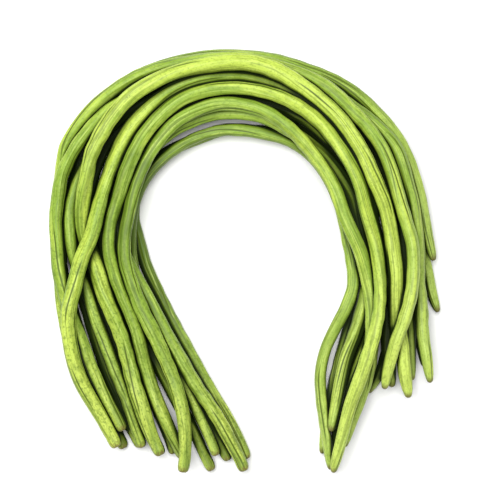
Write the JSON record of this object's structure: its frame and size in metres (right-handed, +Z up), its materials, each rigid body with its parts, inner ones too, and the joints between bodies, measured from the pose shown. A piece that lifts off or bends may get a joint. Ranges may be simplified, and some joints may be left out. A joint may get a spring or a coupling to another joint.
{
  "type": "yardlong bean bunch",
  "caption": "Bunch of long slender green bean pods bent together into an arch, lying flat, stem ends at one foot and tapering tails at the other.",
  "frame": {"origin": "middle of the bunch's box at the surface it lies on", "axes": "+Z up from the surface, +Y from the open feet towards the crown of the arch, +X to the right seen from above"},
  "size_m": [0.2372, 0.2564, 0.0363],
  "materials": {
    "fresh_pod": "satin yellow-green pod skin, the topmost pods",
    "green_pod": "satin mid-green pod skin",
    "dull_pod": "satin darker green pod skin, the pods beneath"
  },
  "bodies": {
    "root": {"bean_01": "green_pod", "bean_02": "dull_pod", "bean_03": "green_pod", "bean_04": "green_pod", "bean_05": "fresh_pod", "bean_06": "fresh_pod", "bean_07": "fresh_pod", "bean_08": "fresh_pod", "bean_09": "green_pod", "bean_10": "fresh_pod", "bean_11": "green_pod", "bean_12": "green_pod", "bean_13": "dull_pod", "bean_14": "dull_pod", "bean_15": "dull_pod", "bean_16": "dull_pod"}
  },
  "joints": []
}
